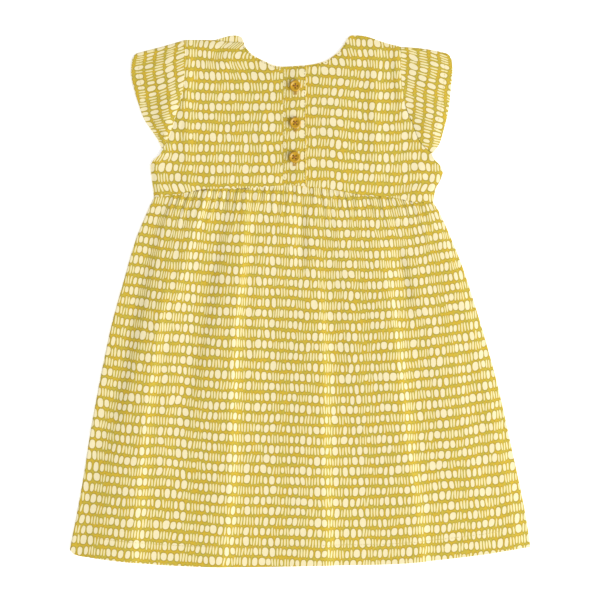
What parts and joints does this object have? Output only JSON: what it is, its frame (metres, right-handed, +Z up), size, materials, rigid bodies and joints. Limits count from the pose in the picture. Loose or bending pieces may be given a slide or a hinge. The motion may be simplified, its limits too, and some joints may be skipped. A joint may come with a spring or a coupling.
{
  "type": "child's cap-sleeved dress",
  "caption": "Child's cap-sleeved dress with a gathered empire skirt and a buttoned back, laid flat on its front with the back showing.",
  "frame": {"origin": "middle of the dress's plan outline, on the surface it lies on", "axes": "+Y from hem to neck, +X to the right when looking down at the buttoned back, +Z up out of the surface"},
  "size_m": [0.4152, 0.479, 0.0076],
  "materials": {
    "cloth": "soft woven cotton, mustard ground printed with rows of cream ovals and strokes",
    "button": "amber plastic with a soft gloss"
  },
  "bodies": {
    "root": {"front_bodice": "cloth", "back_bodice_left": "cloth", "back_bodice_right": "cloth", "button_band": "cloth", "sleeve_left": "cloth", "sleeve_right": "cloth", "skirt_front": "cloth", "skirt_back": "cloth", "button_top": "button", "button_middle": "button", "button_bottom": "button"}
  },
  "joints": []
}
